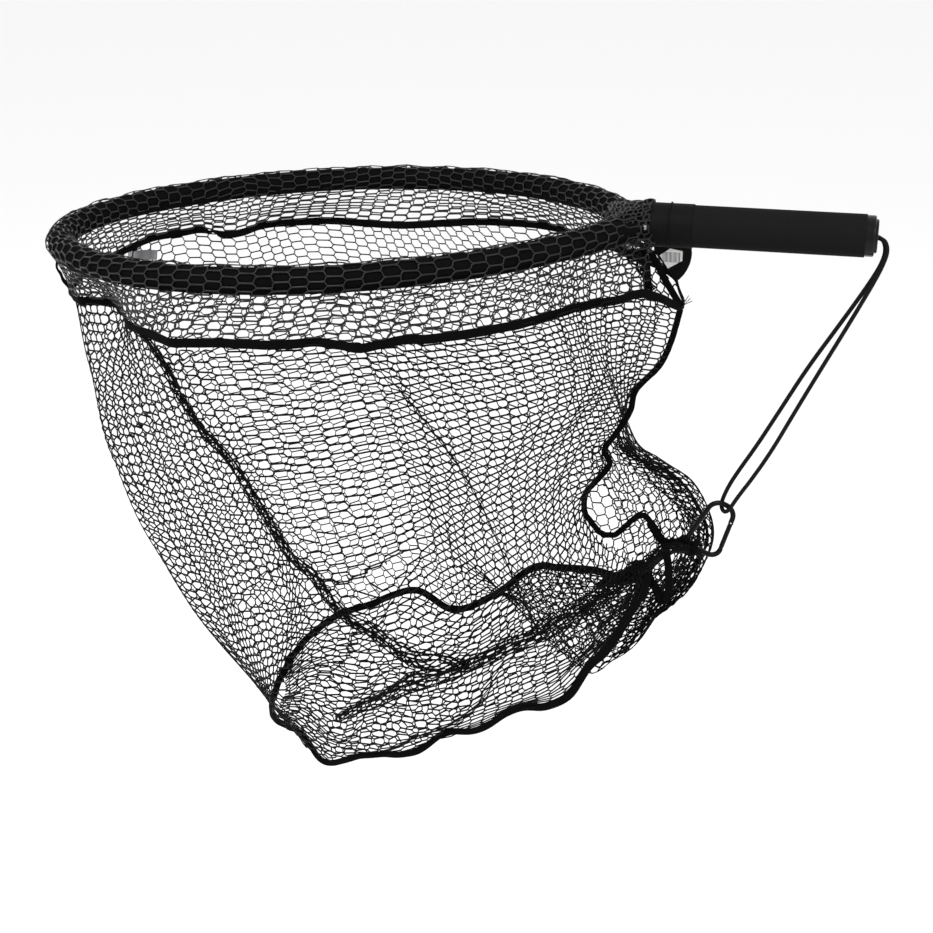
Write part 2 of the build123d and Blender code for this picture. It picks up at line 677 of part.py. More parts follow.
SOLIDS = {
    "hoop_tube": hoop_tube,
    "hoop_foam": hoop_foam,
    "rim_netting": rim_netting,
    "neck_plug": neck_plug,
    "neck_rivets": neck_rivets,
    "neck_sleeve": neck_sleeve,
    "handle_tube": handle_tube,
    "grip_foam": grip_foam,
    "end_cap": end_cap,
    "end_disc": end_disc,
    "cord_knot": cord_knot,
    "collar_netting": collar_netting,
    "wall_netting_front": wall_netting_front,
    "wall_netting_back": wall_netting_back,
    "base_netting": base_netting,
    "collar_binding": collar_binding,
    "base_binding": base_binding,
    "handle_side_tape": handle_side_tape,
    "tip_side_tape": tip_side_tape,
    "neck_tapes": neck_tapes,
    "tape_tail": tape_tail,
    "care_label": care_label,
    "carabiner_body": carabiner_body,
    "carabiner_gate": carabiner_gate,
    "gate_pin": gate_pin,
    "gate_spring": gate_spring,
    "net_gather": net_gather,
    "elastic_cord": elastic_cord,
    "hang_tag": hang_tag,
    "tag_sticker": tag_sticker,
    "tag_string": tag_string,
}

os.makedirs("parts", exist_ok=True)
for name, make in SOLIDS.items():
    solid = make()
    export_step(solid, f"parts/{name}.step")
    box = solid.bounding_box()
    low = [round(v, 1) for v in box.min]
    high = [round(v, 1) for v in box.max]
    print(name, low, high, round(solid.volume, 1))
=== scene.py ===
"""Landing net: knotless mesh, woven tapes, foam, handle, elastic cord and carabiner,
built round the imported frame."""

from math import cos, pi, radians, sin

import bpy
import numpy as np
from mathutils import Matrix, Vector


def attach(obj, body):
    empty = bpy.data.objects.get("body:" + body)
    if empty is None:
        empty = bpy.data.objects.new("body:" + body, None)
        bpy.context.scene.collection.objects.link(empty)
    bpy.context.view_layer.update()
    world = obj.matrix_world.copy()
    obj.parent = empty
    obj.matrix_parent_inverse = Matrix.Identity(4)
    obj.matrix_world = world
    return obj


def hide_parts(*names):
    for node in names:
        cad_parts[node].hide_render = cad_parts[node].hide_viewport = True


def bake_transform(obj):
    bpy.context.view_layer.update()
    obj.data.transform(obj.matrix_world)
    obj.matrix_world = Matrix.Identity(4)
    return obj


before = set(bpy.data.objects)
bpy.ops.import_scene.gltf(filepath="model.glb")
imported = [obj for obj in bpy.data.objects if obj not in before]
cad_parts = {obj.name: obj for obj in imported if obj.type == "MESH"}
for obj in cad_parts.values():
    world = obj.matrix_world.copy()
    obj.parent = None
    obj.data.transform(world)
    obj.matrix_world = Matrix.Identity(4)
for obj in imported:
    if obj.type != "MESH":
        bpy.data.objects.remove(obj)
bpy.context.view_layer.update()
bpy.ops.object.select_all(action="DESELECT")

ROOT = "net_and_handle"
THREAD = 0.0014
TAPE_WIDTH = 0.0080
TAPE_THICK = 0.0013
CORD_DIAMETER = 0.004
FOAM_RADIUS = 0.0115
HOOP_DIP = radians(3.0)
NECK_X = -0.118
FRONT_ABOVE = (0.2254, -0.903, 0.3658)  # the way to the front of the net, a little from above
THREAD_SIDES = 4
LEVEL_HALF = 0.45  # half of each level stretch, in columns
LEVEL_WANDER = 0.8  # share of a stretch's wander that goes along its thread
LEVEL_TILT = 0.5
CORNER_CUT = 0.16
SHARED_GAP = 0.10  # between two threads that share a level stretch, in thread widths
FOLD_REACH = 0.13
FOLD_TAKEN = 1.28  # cloth taken in from each side of a fold, in half widths
FOLD_LIFT = 0.0022
FOLD_WAVES = 2.6
FOLD_LIFT_REACH = 1.6  # in half widths
FOLD_FADE = 0.15  # share of a fold's length over which each end dies away

# ---- smooth lines and hung sheets ----


def curve_through(points, places, closed=False):
    """Points of the smooth curve through the given ones, at places counted in points."""
    p = np.asarray(points, float)
    n = len(p)
    i = np.floor(places).astype(int)
    if not closed:
        i = np.clip(i, 0, n - 2)
    f = (places - i).reshape((-1,) + (1,) * (p.ndim - 1))

    def at(k):
        return p[k % n] if closed else p[np.clip(k, 0, n - 1)]

    a, b, c, d = at(i - 1), at(i), at(i + 1), at(i + 2)
    return 0.5 * (2 * b + (c - a) * f + (2 * a - 5 * b + 4 * c - d) * f**2 + (3 * b - a - 3 * c + d) * f**3)


def even_line(points, count, closed=False):
    """count places evenly spaced along the smooth curve through the points, and the curve there."""
    p = np.asarray(points, float)
    span = len(p) if closed else len(p) - 1
    fine = np.linspace(0, span, 40 * span + 1)
    line = curve_through(p, fine, closed)
    steps = np.linalg.norm(np.diff(line, axis=0), axis=-1)
    steps = steps.reshape(len(steps), -1).mean(axis=1)
    run = np.concatenate([[0], np.cumsum(steps)])
    places = np.interp(np.linspace(0, run[-1], count), run, fine)
    return curve_through(p, places, closed), run[-1]


def hung_sheet(ribs, across, down, closed=False):
    """A grid of points on the surface that hangs over the ribs."""
    lines = np.array([even_line(r, down)[0] for r in ribs])
    return even_line(lines, across, closed)[0]


def on_sheet(grid, u, v):
    """Points of the grid at u across and v down, both from 0 to 1."""
    x = np.clip(u, 0, 1) * (grid.shape[0] - 1)
    y = np.clip(v, 0, 1) * (grid.shape[1] - 1)
    i = np.clip(np.floor(x).astype(int), 0, grid.shape[0] - 2)
    j = np.clip(np.floor(y).astype(int), 0, grid.shape[1] - 2)
    f = (x - i)[..., None]
    g = (y - j)[..., None]
    low = grid[i, j] * (1 - f) + grid[i + 1, j] * f
    high = grid[i, j + 1] * (1 - f) + grid[i + 1, j + 1] * f
    return low * (1 - g) + high * g


def unit(v):
    return v / np.maximum(np.linalg.norm(v, axis=-1, keepdims=True), 1e-9)


def sheet_normals(grid):
    along = np.gradient(grid, axis=0)
    down = np.gradient(grid, axis=1)
    return unit(np.cross(along, down))


RIPPLE_WAVES = 9


def ripples(shape, seed, waves, size):
    """Smooth, uneven waves over a grid, as slack cloth has."""
    r = np.random.default_rng(seed)
    u = np.linspace(0, 1, shape[0])[:, None]
    v = np.linspace(0, 1, shape[1])[None, :]
    total = np.zeros(shape)
    for _ in range(RIPPLE_WAVES):
        fu = r.uniform(0.4, 1.0) * waves[0]
        fv = r.uniform(0.3, 1.0) * waves[1]
        turn = r.uniform(0, 2 * pi)
        lean = r.uniform(-1, 1)
        total += np.sin(2 * pi * (fu * u + lean * fv * v) + turn) / 3
    return total * size


def taken_in(u, v, size, folds):
    """Where the mesh lies once the folds are taken in, and how far each point stands off the sheet.
    A fold is its line across and down the sheet, and its half width at its start and end."""
    start = np.stack([u, v], axis=-1) * size
    place = start.copy()
    lift = np.zeros(len(start))
    for line, first, last in folds:
        line = even_line(np.asarray(line) * size, 31)[0]
        step = line[1:] - line[:-1]
        share = (((start[:, None] - line[:-1]) * step).sum(-1) / (step**2).sum(-1)).clip(0, 1)
        off = start[:, None] - line[:-1] - step * share[..., None]
        k = np.argmin((off**2).sum(-1), axis=1)
        every = np.arange(len(start))
        far = np.sqrt((off[every, k] ** 2).sum(-1))
        beside = unit(np.stack([-step[:, 1], step[:, 0]], axis=-1))[k]
        side = (off[every, k] * beside).sum(-1)
        run = (k + share[every, k]) / len(step)
        half = first + (last - first) * run
        ends = np.clip(run / FOLD_FADE, 0, 1) * np.clip((1 - run) / FOLD_FADE, 0, 1)
        pull = np.tanh(side / half) * np.exp(-((far / FOLD_REACH) ** 2)) * ends
        place -= beside * (FOLD_TAKEN * half * pull)[:, None]
        stands = np.exp(-((far / (FOLD_LIFT_REACH * half)) ** 2)) * ends
        lift += FOLD_LIFT * np.sin(FOLD_WAVES * side / half) * stands
    return place[:, 0] / size[0], place[:, 1] / size[1], lift


def mesh_object(name, points, faces):
    mesh = bpy.data.meshes.new(name)
    mesh.from_pydata(np.asarray(points).tolist(), [], faces)
    mesh.validate()
    mesh.update()
    made = bpy.data.objects.new(name, mesh)
    bpy.context.scene.collection.objects.link(made)
    mesh.polygons.foreach_set("use_smooth", [True] * len(mesh.polygons))
    return made


def threads_mesh(name, lines, normals, closed, radius):
    """Thin four-sided threads along many lines at once, in one mesh."""
    points, faces = [], []
    base = 0
    sides = THREAD_SIDES
    for line, normal in zip(lines, normals):
        n = len(line)
        before = np.roll(line, 1, axis=0)
        after = np.roll(line, -1, axis=0)
        if not closed:
            before[0], after[-1] = line[0], line[-1]
        tangent = unit(after - before)
        side = unit(np.cross(tangent, normal))
        up = np.cross(side, tangent)
        turns = [pi / 4 + 2 * pi * k / sides for k in range(sides)]
        rings = np.stack([line + radius * (cos(a) * side + sin(a) * up) for a in turns], axis=1)
        points.append(rings.reshape(-1, 3))
        k = np.arange(n if closed else n - 1)
        nxt = (k + 1) % n
        for s in range(sides):
            t = (s + 1) % sides
            quad = np.stack([k * sides + s, k * sides + t, nxt * sides + t, nxt * sides + s], axis=1)
            faces.append(quad[:, ::-1] + base)
        if not closed:
            faces.append(np.array([[0, 1, 2, 3]]) + base)
            faces.append(np.array([[3, 2, 1, 0]]) + base + (n - 1) * sides)
        base += n * sides
    return mesh_object(name, np.concatenate(points), np.concatenate(faces).tolist())


def netting(
    name, grid, columns, rows, seed,
    closed=False, folds=(), stray=0.035, slack=0.0, start=0.0, end=1.0, split=1,
):
    """Knotless six-sided mesh on a sheet. Each thread runs across it, sharing its level stretches
    with the thread above and below in turn. stray is how uneven it is, slack how far the columns
    crowd towards the far side, and split the number of pieces that it is made in."""
    r = np.random.default_rng(seed)
    normals = sheet_normals(grid)
    height = np.linalg.norm(np.diff(grid, axis=1), axis=-1).sum(axis=1).mean()
    beside = SHARED_GAP * THREAD / (height * (end - start) / rows)
    size = np.array([np.linalg.norm(np.diff(grid, axis=0), axis=-1).sum(axis=0).mean(), height])
    c = np.arange(columns + (0 if closed else 1))
    jitter = r.normal(0, stray, (len(c), 2 * rows + 3, 3))
    made = []
    threads = []
    for j in range(rows + 1):
        for rising in (1, -1):
            low, high = 2 * j, 2 * j + rising
            if not 0 <= high <= 2 * rows:
                continue
            level = np.where(c % 2 == 0, low, high)
            nudge = np.where(c % 2 == 0, 1, -1) * rising * beside
            wander = jitter[c, level + 1]
            edge = 1 - ((level == 0) | (level == 2 * rows))
            middle_u = c + wander[:, 0] * LEVEL_WANDER
            middle_v = level / 2 + nudge + wander[:, 1] * edge
            tilt = wander[:, 2] * LEVEL_TILT * edge
            u = np.stack([middle_u - LEVEL_HALF, middle_u + LEVEL_HALF], axis=1)
            v = np.stack([middle_v - tilt * LEVEL_HALF, middle_v + tilt * LEVEL_HALF], axis=1)
            u, v = u.reshape(-1), v.reshape(-1)
            if not closed:
                u = np.clip(u, 0, columns)
            # rounded corners
            u2, v2 = np.roll(u, -1), np.roll(v, -1)
            if closed:
                u2[-1] += columns
            else:
                u2[-1], v2[-1] = u[-1], v[-1]
            u = np.stack([u + CORNER_CUT * (u2 - u), u2 - CORNER_CUT * (u2 - u)], axis=1).reshape(-1)
            v = np.stack([v + CORNER_CUT * (v2 - v), v2 - CORNER_CUT * (v2 - v)], axis=1).reshape(-1)
            if not closed:
                u, v = u[:-2], v[:-2]
            uu = u / columns
            uu = uu + slack * np.sin(pi * uu)
            vv = start + (end - start) * v / rows
            threads.append((uu % 1.0 if closed else uu, vv))
    per_piece = -(-len(threads) // split)
    for k in range(split):
        lines, ups = [], []
        for u, v in threads[k * per_piece : (k + 1) * per_piece]:
            u, v, lift = taken_in(u, v, size, folds)
            up = unit(on_sheet(normals, u, v))
            lines.append(on_sheet(grid, u, v) + up * lift[:, None])
            ups.append(up)
        made.append(threads_mesh(name if split == 1 else f"{name}_{k + 1}", lines, ups, closed,
            THREAD / 2))
    return made


def hoop_place(along, across, drop=0.0):
    """A point under the hoop's plane, from the neck point: along and across it, and below it."""
    return (
        NECK_X + along * cos(HOOP_DIP) + drop * sin(HOOP_DIP),
        across,
        along * sin(HOOP_DIP) - drop * cos(HOOP_DIP),
    )


# ---- the lines that the bag hangs from: hoop, collar binding and base binding ----

HOOP_HALF = [
    (0.0140, 0.0095), (0.0014, 0.0117), (-0.0097, 0.0181), (-0.0179, 0.0278), (-0.0432, 0.0709),
    (-0.0736, 0.1138), (-0.1109, 0.1508), (-0.1541, 0.1808), (-0.2018, 0.2029), (-0.2526, 0.2164),
    (-0.3050, 0.2210), (-0.3677, 0.2137), (-0.4271, 0.1923), (-0.4800, 0.1578), (-0.5235, 0.1121),
    (-0.5440, 0.0777), (-0.5567, 0.0398),
]
hoop_line = [hoop_place(a, -b) for a, b in HOOP_HALF] + [hoop_place(-0.561, 0)]
hoop_line += [hoop_place(a, b) for a, b in reversed(HOOP_HALF)]

# collar binding, from the handle-side corner along the front, round the tip and back: along, across, drop
COLLAR_EDGE = [
    (0.030, -0.010, 0.074), (0.011, -0.047, 0.054), (0.002, -0.058, 0.050), (-0.016, -0.079, 0.050),
    (-0.044, -0.104, 0.050), (-0.064, -0.134, 0.050), (-0.084, -0.160, 0.050), (-0.100, -0.176, 0.050),
    (-0.116, -0.189, 0.050), (-0.133, -0.199, 0.050), (-0.149, -0.209, 0.050), (-0.169, -0.213, 0.050),
    (-0.185, -0.226, 0.050), (-0.200, -0.239, 0.050), (-0.221, -0.232, 0.050), (-0.244, -0.225, 0.050),
    (-0.261, -0.232, 0.050), (-0.279, -0.236, 0.050), (-0.306, -0.235, 0.050), (-0.333, -0.234, 0.050),
    (-0.352, -0.235, 0.050), (-0.371, -0.234, 0.050), (-0.398, -0.212, 0.050), (-0.410, -0.203, 0.050),
    (-0.424, -0.192, 0.050), (-0.436, -0.177, 0.050), (-0.450, -0.155, 0.050), (-0.465, -0.132, 0.050),
    (-0.480, -0.114, 0.050), (-0.505, -0.110, 0.050), (-0.520, -0.105, 0.050), (-0.548, -0.065, 0.050),
    (-0.563, 0.005, 0.051), (-0.565, 0.062, 0.050), (-0.564, 0.107, 0.050), (-0.563, 0.135, 0.050),
    (-0.553, 0.159, 0.050), (-0.538, 0.174, 0.050), (-0.526, 0.189, 0.050), (-0.513, 0.187, 0.050),
    (-0.497, 0.174, 0.050), (-0.485, 0.167, 0.050), (-0.474, 0.168, 0.050), (-0.468, 0.177, 0.050),
    (-0.462, 0.195, 0.050), (-0.456, 0.213, 0.050), (-0.438, 0.225, 0.050), (-0.419, 0.231, 0.050),
    (-0.387, 0.237, 0.050), (-0.341, 0.226, 0.050), (-0.311, 0.217, 0.050), (-0.284, 0.217, 0.050),
    (-0.252, 0.227, 0.050), (-0.219, 0.233, 0.050), (-0.192, 0.233, 0.050), (-0.175, 0.228, 0.050),
    (-0.147, 0.219, 0.050), (-0.121, 0.200, 0.050), (-0.064, 0.134, 0.050), (-0.020, 0.080, 0.050),
    (0.014, 0.040, 0.054), (0.033, 0.008, 0.074),
]
collar_edge = np.array([hoop_place(*p) for p in COLLAR_EDGE])

# base binding, from the handle end along the near side to the tip end, and back along the far side
BASE_EDGE = np.array([
    (-0.101, -0.010, -0.337), (-0.102, -0.022, -0.352), (-0.114, -0.055, -0.371),
    (-0.125, -0.080, -0.388), (-0.143, -0.104, -0.404), (-0.156, -0.122, -0.423),
    (-0.178, -0.127, -0.436), (-0.206, -0.130, -0.441), (-0.240, -0.138, -0.464),
    (-0.271, -0.140, -0.470), (-0.304, -0.140, -0.497), (-0.357, -0.130, -0.514),
    (-0.405, -0.110, -0.541), (-0.437, -0.090, -0.524), (-0.469, -0.060, -0.535),
    (-0.492, -0.030, -0.541), (-0.501, 0.000, -0.540), (-0.497, 0.030, -0.520), (-0.482, 0.060, -0.497),
    (-0.458, 0.100, -0.485), (-0.430, 0.128, -0.482), (-0.380, 0.138, -0.463), (-0.335, 0.138, -0.482),
    (-0.288, 0.136, -0.457), (-0.240, 0.110, -0.407), (-0.204, 0.080, -0.389), (-0.165, 0.057, -0.377),
    (-0.139, 0.040, -0.373), (-0.120, 0.022, -0.357), (-0.111, 0.009, -0.340),
])

# ---- bag ribs, from the collar binding down to the base binding ----


collar_line = even_line(collar_edge, 1001)[0]


def top_at(share):
    return collar_line[round(share * 1000)]


base_line = even_line(BASE_EDGE, 1001)[0]


def base_at(share):
    return base_line[round(share * 1000)]


def rib(top, base, between):
    """A rib from the collar binding to the base binding, through points or through offsets from
    a straight run, each with its share of the run."""
    a, b = top_at(top), base_at(base)
    middle = []
    for p in between:
        if len(p) == 4:
            share, *offset = p
            middle.append(a + (b - a) * share + np.array(offset))
        else:
            middle.append(np.array(p))
    return [a, *middle, b]


SEAM = [
    (-0.083, -0.006, -0.076), (-0.090, -0.004, -0.107), (-0.100, -0.003, -0.132),
    (-0.121, -0.002, -0.158), (-0.126, 0.0, -0.180), (-0.138, 0.0, -0.203), (-0.149, 0.0, -0.221),
    (-0.144, 0.0, -0.236), (-0.155, 0.0, -0.253), (-0.166, 0.0, -0.268), (-0.167, 0.0, -0.287),
]

bag_ribs = [
    [
        top_at(0.0), *[np.array(p) for p in SEAM[1:]], np.array((-0.161, 0.0, -0.297)),
        np.array((-0.146, -0.004, -0.312)), np.array((-0.124, -0.006, -0.322)), base_at(0.0),
    ],
    rib(0.048, 0.052, [
        (-0.128, -0.060, -0.110), (-0.158, -0.050, -0.180), (-0.176, -0.040, -0.250),
        (-0.165, -0.040, -0.310),
    ]),
    rib(0.115, 0.117, [(-0.185, -0.118, -0.130), (-0.205, -0.100, -0.220), (-0.195, -0.085, -0.320)]),
    rib(0.169, 0.178, [(-0.245, -0.172, -0.140), (-0.250, -0.150, -0.250), (-0.220, -0.125, -0.350)]),
    rib(0.216, 0.227, [(0.33, 0.0, -0.006, 0.0), (0.66, 0.0, -0.010, 0.0)]),
    rib(0.263, 0.266, [(0.33, 0.0, -0.008, 0.0), (0.66, 0.0, -0.014, 0.0)]),
    rib(0.303, 0.324, [(0.33, -0.004, -0.008, 0.0), (0.66, -0.004, -0.014, 0.0)]),
    rib(0.342, 0.383, [(0.33, -0.020, -0.008, 0.0), (0.66, -0.018, -0.012, 0.0)]),
    rib(0.372, 0.429, [
        (-0.606, -0.125, -0.150), (-0.594, -0.118, -0.250), (-0.540, -0.098, -0.390),
        (-0.493, -0.075, -0.485),
    ]),
    rib(0.414, 0.457, [
        (-0.634, -0.092, -0.158), (-0.612, -0.090, -0.240), (-0.560, -0.080, -0.345),
        (-0.508, -0.064, -0.460),
    ]),
    rib(0.471, 0.498, [
        (-0.654, -0.020, -0.150), (-0.624, -0.020, -0.250), (-0.560, -0.010, -0.380),
        (-0.514, -0.005, -0.480),
    ]),
    rib(0.528, 0.539, [
        (-0.656, 0.070, -0.150), (-0.618, 0.065, -0.250), (-0.552, 0.060, -0.370),
        (-0.502, 0.050, -0.450),
    ]),
    rib(0.578, 0.599, [(0.33, -0.020, 0.004, 0.0), (0.66, -0.018, 0.008, 0.0)]),
    rib(0.629, 0.644, [(0.33, -0.010, 0.008, 0.0), (0.66, -0.010, 0.012, 0.0)]),
    rib(0.675, 0.7, [(0.33, 0.0, 0.008, 0.0), (0.66, 0.0, 0.014, -0.004)]),
    rib(0.722, 0.746, [(0.33, 0.0, 0.008, 0.0), (0.66, 0.0, 0.016, -0.008)]),
    rib(0.796, 0.816, [
        (-0.262, 0.205, -0.160), (-0.225, 0.175, -0.300), (-0.190, 0.120, -0.430),
        (-0.186, 0.055, -0.484), (-0.210, 0.080, -0.452),
    ]),
    rib(0.841, 0.879, [
        (-0.222, 0.175, -0.150), (-0.180, 0.150, -0.270), (-0.138, 0.120, -0.370),
        (-0.126, 0.060, -0.450), (-0.149, 0.050, -0.474), (-0.185, 0.070, -0.430),
    ]),
    rib(0.9, 0.935, [
        (-0.182, 0.118, -0.150), (-0.140, 0.105, -0.240), (-0.090, 0.095, -0.300),
        (-0.068, 0.080, -0.355), (-0.086, 0.058, -0.402), (-0.110, 0.052, -0.428),
        (-0.138, 0.048, -0.410),
    ]),
    rib(0.954, 0.974, [
        (-0.146, 0.066, -0.150), (-0.136, 0.052, -0.228), (-0.107, 0.055, -0.249),
        (-0.069, 0.062, -0.269), (-0.047, 0.063, -0.304), (-0.044, 0.062, -0.339),
        (-0.062, 0.058, -0.379), (-0.096, 0.045, -0.390),
    ]),
    rib(0.989, 1.0, [
        (-0.112, 0.018, -0.130), (-0.136, 0.026, -0.185), (-0.146, 0.030, -0.232),
        (-0.118, 0.035, -0.258), (-0.082, 0.034, -0.284), (-0.072, 0.030, -0.318),
        (-0.080, 0.026, -0.350),
    ]),
]

bag = hung_sheet(bag_ribs, 441, 161)
away = sheet_normals(bag)


def edge_fade(grid):
    """0 at the top and bottom edges of a sheet and 1 midway, so that ripples leave the edges in place."""
    return np.sin(pi * np.linspace(0, 1, grid.shape[1]))[None, :] ** 0.5


bag_ripples = ripples(bag.shape[:2], 3, (9, 3), 0.0035) + ripples(bag.shape[:2], 4, (24, 7), 0.0012)
bag = bag + away * (bag_ripples * edge_fade(bag))[..., None]

BAG_COLUMNS = 106
BAG_ROWS = 50

# each fold: its line across and down the bag, and its half width at the start and at the end
BAG_FOLDS = [
    ([
        (0.330, 0.0), (0.295, 0.03), (0.282, 0.17), (0.270, 0.25), (0.264, 0.344), (0.257, 0.45),
        (0.246, 0.51), (0.243, 0.562), (0.236, 0.612), (0.225, 0.644), (0.205, 0.738), (0.186, 0.788),
        (0.170, 0.850),
    ], 0.013, 0.028),
    ([
        (0.0, 0.970), (0.014, 0.950), (0.043, 0.906), (0.084, 0.856), (0.120, 0.850), (0.177, 0.840),
        (0.200, 0.828), (0.230, 0.831), (0.257, 0.856), (0.289, 0.894),
    ], 0.016, 0.010),
    ([
        (0.682, 0.381), (0.709, 0.481), (0.739, 0.600), (0.768, 0.744), (0.791, 0.800), (0.818, 0.844),
    ], 0.009, 0.011),
]

bag_netting = netting("bag_netting", bag, BAG_COLUMNS, BAG_ROWS, 11, folds=BAG_FOLDS, slack=0.045,
    split=2)


PLEAT_STEPS = 61
PLEAT_DEPTH = 0.003 * cos(0.4)
PLEAT_WAVE = 0.002


def pleat(name, line, first, last, columns, rows, seed):
    """The cloth tucked in along a fold, as a narrow crowded strip just inside the bag."""
    way = even_line(np.asarray(line), PLEAT_STEPS)[0]
    size = np.array([BAG_WIDE, BAG_HIGH])
    step = unit(np.gradient(way * size, axis=0))
    beside = np.stack([-step[:, 1], step[:, 0]], axis=-1) / size
    taper = np.sin(pi * np.linspace(0.06, 0.97, PLEAT_STEPS)) ** 0.4
    wide = np.linspace(first, last, PLEAT_STEPS) * taper
    across = np.linspace(-0.5, 0.5, 15)
    u = way[:, :1] + beside[:, :1] * wide[:, None] * across
    v = way[:, 1:] + beside[:, 1:] * wide[:, None] * across
    inside = PLEAT_DEPTH + PLEAT_WAVE * np.cos(9 * across)
    strip = on_sheet(bag, u, v) - on_sheet(away, u, v) * inside[None, :, None]
    return netting(name, strip, columns, rows, seed, stray=0.16)[0]


BAG_WIDE = np.linalg.norm(np.diff(bag, axis=0), axis=-1).sum(axis=0).mean()
BAG_HIGH = np.linalg.norm(np.diff(bag, axis=1), axis=-1).sum(axis=1).mean()
front_pleat = pleat("front_pleat", BAG_FOLDS[0][0], 0.008, 0.018, 62, 4, 31)
hook_pleat = pleat("hook_pleat", BAG_FOLDS[1][0], 0.026, 0.018, 56, 6, 32)

# the slack cloth doubled over inside the bulge beside the carabiner
lobe_u, lobe_v = np.meshgrid(np.linspace(0.868, 0.986, 81), np.linspace(0.40, 0.93, 81), indexing="ij")
LOBE_DEPTH = 0.005
lobe_away = on_sheet(away, lobe_u, lobe_v)
lobe = on_sheet(bag, lobe_u, lobe_v) - LOBE_DEPTH * lobe_away
lobe = lobe - lobe_away * abs(ripples(lobe.shape[:2], 41, (3, 3), 0.004))[..., None]
lobe_fold = netting("lobe_fold", lobe, 20, 30, 42, stray=0.14)[0]

# ---- collar: one mesh folded over the foam, both edges in the collar binding ----


def round_foam(middle, inward, angle, radius):
    """A point round the foam: angle 0 is inwards, 90 up, 180 outwards."""
    a = radians(angle)
    return middle + radius * (cos(a) * inward + np.array((0, 0, sin(a))))


COLLAR_STATIONS = 61
RIM_RADIUS = FOAM_RADIUS + 0.0009
EDGES_APART = 0.0004
TIGHT, LOOSE = 0.0001, 0.0007  # how far the mesh stands off the foam, least and most
hoop_even = even_line(hoop_line[1:-1], COLLAR_STATIONS)[0]
edge_even = even_line(collar_line[28:-27:9], COLLAR_STATIONS)[0]
centre = np.array(hoop_place(-0.29, 0.0))
collar_ribs = []
for middle, low in zip(hoop_even, edge_even):
    inward = centre - middle
    inward[2] = 0
    inward = unit(inward)
    ring = [round_foam(middle, inward, a, RIM_RADIUS) for a in (190, 155, 120, 90, 60, 25, -10)]
    lean = EDGES_APART / 2 * inward
    outer = [low - lean + (ring[0] - low) * k + inward * 0.003 * sin(pi * k) for k in (0.0, 0.33, 0.66)]
    inner = [low + lean + (ring[-1] - low) * k - inward * 0.002 * sin(pi * k) for k in (0.66, 0.33, 0.0)]
    collar_ribs.append(outer + ring + inner)
collar = hung_sheet(collar_ribs, 481, 121)
high = np.exp(-(((np.linspace(0, 1, collar.shape[1]) - 0.47) / 0.10) ** 2))[None, :]
loose = (TIGHT + LOOSE * high) * (1 + ripples(collar.shape[:2], 7, (40, 4), 1.0)).clip(0, 2.4)
collar = collar - sheet_normals(collar) * loose[..., None]
collar_netting = netting(
    "collar_netting", collar, 108, 18, 12, stray=0.045, start=0.028, end=0.972, split=2,
)

# the netting's ends, gathered round the foam and the neck up to the sleeve:
# along, half width, half height, middle height
NECK_RINGS = [
    (0.0052, 0.0222, 0.0218, 0.0), (0.0015, 0.0236, 0.0212, 0.0), (-0.0040, 0.0275, 0.0192, 0.0005),
    (-0.0110, 0.0325, 0.0172, 0.0012), (-0.0180, 0.0395, 0.0158, 0.0015),
    (-0.0270, 0.0530, 0.0142, 0.0012), (-0.0370, 0.0700, 0.0130, 0.0005),
]
round_neck = np.linspace(0, 2 * pi, 48, endpoint=False)
neck_rings = [
    [np.array(hoop_place(a, w * cos(t))) + np.array((0, 0, middle + h * sin(t))) for t in round_neck]
    for a, w, h, middle in NECK_RINGS
]
neck = hung_sheet(np.array(neck_rings).transpose(1, 0, 2), 241, 61, closed=True)
neck = neck + sheet_normals(neck) * (ripples(neck.shape[:2], 21, (14, 3), 0.0014))[..., None]
neck_netting = netting("neck_netting", neck, 36, 10, 22, stray=0.16, closed=True)[0]

# ---- base panel ----
BASE_SAG = 0.10  # of its width
BASE_NEAR = even_line(BASE_EDGE[:17], 15)[0]
BASE_FAR = even_line(BASE_EDGE[16:], 15)[0][::-1]
base_ribs = []
for near, far in zip(BASE_NEAR[:-1], BASE_FAR[:-1]):
    sag = np.array((0, 0, BASE_SAG * np.linalg.norm(far - near)))
    base_ribs.append([near, near * 0.7 + far * 0.3 - sag, near * 0.3 + far * 0.7 - sag * 0.8, far])
base = hung_sheet(base_ribs, 241, 101)
base_ripples = ripples(base.shape[:2], 9, (7, 4), 0.0045) * edge_fade(base)
base = base + sheet_normals(base) * base_ripples[..., None]
base_netting = netting("base_mesh", base, 34, 28, 13, stray=0.10)

# ---- tapes ----


# corners of a tape's section, in its width and thickness
TAPE_SECTION = [
    (-0.5, -0.30), (-0.42, -0.5), (0.42, -0.5), (0.5, -0.30), (0.5, 0.30),
    (0.42, 0.5), (0.0, 0.56), (-0.42, 0.5), (-0.5, 0.30),
]


